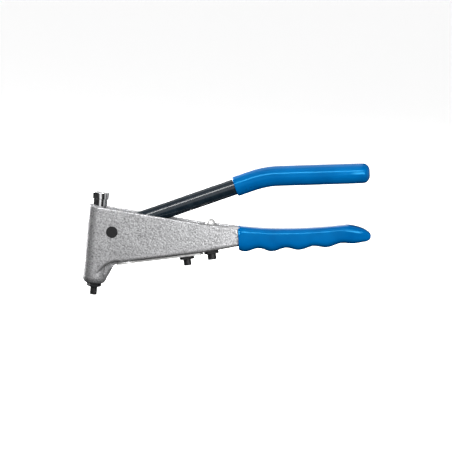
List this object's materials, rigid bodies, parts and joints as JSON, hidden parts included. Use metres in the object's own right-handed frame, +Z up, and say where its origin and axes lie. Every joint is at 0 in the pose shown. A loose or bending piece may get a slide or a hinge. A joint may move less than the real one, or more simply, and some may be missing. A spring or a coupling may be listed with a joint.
{
  "type": "hand riveter",
  "caption": "Plier-type hand riveter with a cast body, screw-in nosepiece, pulling bar, bent tube lever and sleeved grips, with spare nosepieces and a spanner under the body.",
  "frame": {"origin": "centre of the fitted nosepiece's tip face, on the mandrel bore's axis", "axes": "+Z up along the nose axis, away from the rivet; +X towards the handles; Y across the tool"},
  "size_m": [0.2554, 0.022, 0.1403],
  "materials": {
    "casting": "cast, fine hammer-tone texture, satin",
    "blue_sleeve": "blue dipped vinyl, glossy",
    "black_steel": "gloss black",
    "blackened_steel": "blackened, satin",
    "bright_steel": "ground and polished",
    "hidden_steel": "machined"
  },
  "bodies": {
    "housing": {"housing": "casting", "handle_sleeve": "blue_sleeve", "nose_insert": "hidden_steel", "nosepiece_fitted": "blackened_steel", "spare_nosepiece_small": "blackened_steel", "spare_nosepiece_large": "blackened_steel", "spanner": "bright_steel", "lever_stop": "bright_steel", "pivot_pin": "blackened_steel", "pivot_circlip": "blackened_steel"},
    "lever": {"lever_fork": "black_steel", "lever_tube": "black_steel", "lever_rivets": "hidden_steel", "lever_sleeve": "blue_sleeve"},
    "draw_train": {"draw_bar": "bright_steel", "exit_collar": "bright_steel", "jaw_case": "hidden_steel", "jaw_spring": "hidden_steel"},
    "pusher": {"jaw_pusher": "hidden_steel"},
    "jaw_1_body": {"jaw_1": "hidden_steel"},
    "jaw_2_body": {"jaw_2": "hidden_steel"},
    "jaw_3_body": {"jaw_3": "hidden_steel"}
  },
  "joints": [
    {"name": "lever_pivot", "type": "hinge", "parent": "housing", "child": "lever", "pos_m": [0.0135, 0, 0.0591], "axis": [0, -1, 0], "range_deg": [-8, 42]},
    {"name": "draw_slide", "type": "slide", "parent": "housing", "child": "draw_train", "axis": [0, 0, 1], "range_m": [-0.0098, 0.0019]},
    {"name": "pusher_slide", "type": "slide", "parent": "draw_train", "child": "pusher", "axis": [0, 0, 1], "range_m": [0, 0.002], "stiffness_N_per_m": 800, "springref_m": -0.004, "deforming": ["jaw_spring"]},
    {"name": "jaw_1_slide", "type": "slide", "parent": "draw_train", "child": "jaw_1_body", "axis": [0.0868, 0.1504, 0.9848], "range_m": [0, 0.0021]},
    {"name": "jaw_2_slide", "type": "slide", "parent": "draw_train", "child": "jaw_2_body", "axis": [-0.1736, 0, 0.9848], "range_m": [0, 0.0021]},
    {"name": "jaw_3_slide", "type": "slide", "parent": "draw_train", "child": "jaw_3_body", "axis": [0.0868, -0.1504, 0.9848], "range_m": [0, 0.0021]}
  ],
  "couplings": [
    {"joint": "draw_slide", "follows": "lever_pivot", "m_per_rad": -0.013189},
    {"joint": "jaw_1_slide", "follows": "pusher_slide", "ratio": 1.0154},
    {"joint": "jaw_2_slide", "follows": "pusher_slide", "ratio": 1.0154},
    {"joint": "jaw_3_slide", "follows": "pusher_slide", "ratio": 1.0154}
  ]
}
